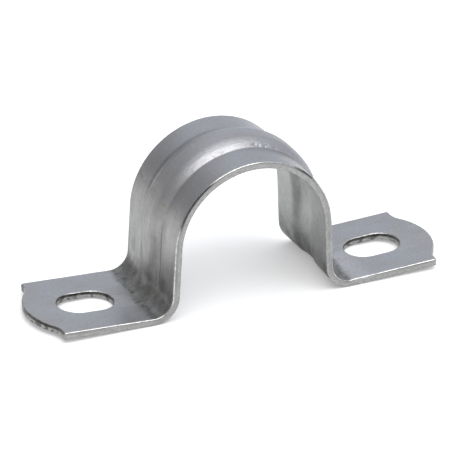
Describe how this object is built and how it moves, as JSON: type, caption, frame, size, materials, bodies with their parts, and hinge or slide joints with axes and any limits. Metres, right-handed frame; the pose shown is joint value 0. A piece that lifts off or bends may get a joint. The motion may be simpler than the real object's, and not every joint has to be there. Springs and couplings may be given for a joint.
{
  "type": "conduit strap",
  "caption": "Sheet-steel strap that arches over a round conduit and screws down through a slotted foot on each side, with a stiffening bead along the arch.",
  "frame": {"origin": "midway between the two feet, on the plane that the two heels stand on", "axes": "+X from the left foot to the right foot, +Y along the conduit, +Z away from the wall"},
  "size_m": [0.0722, 0.019, 0.027],
  "materials": {
    "zinc_plated_steel": "satin zinc plating on rolled strip"
  },
  "bodies": {
    "root": {"strap": "zinc_plated_steel"}
  },
  "joints": []
}
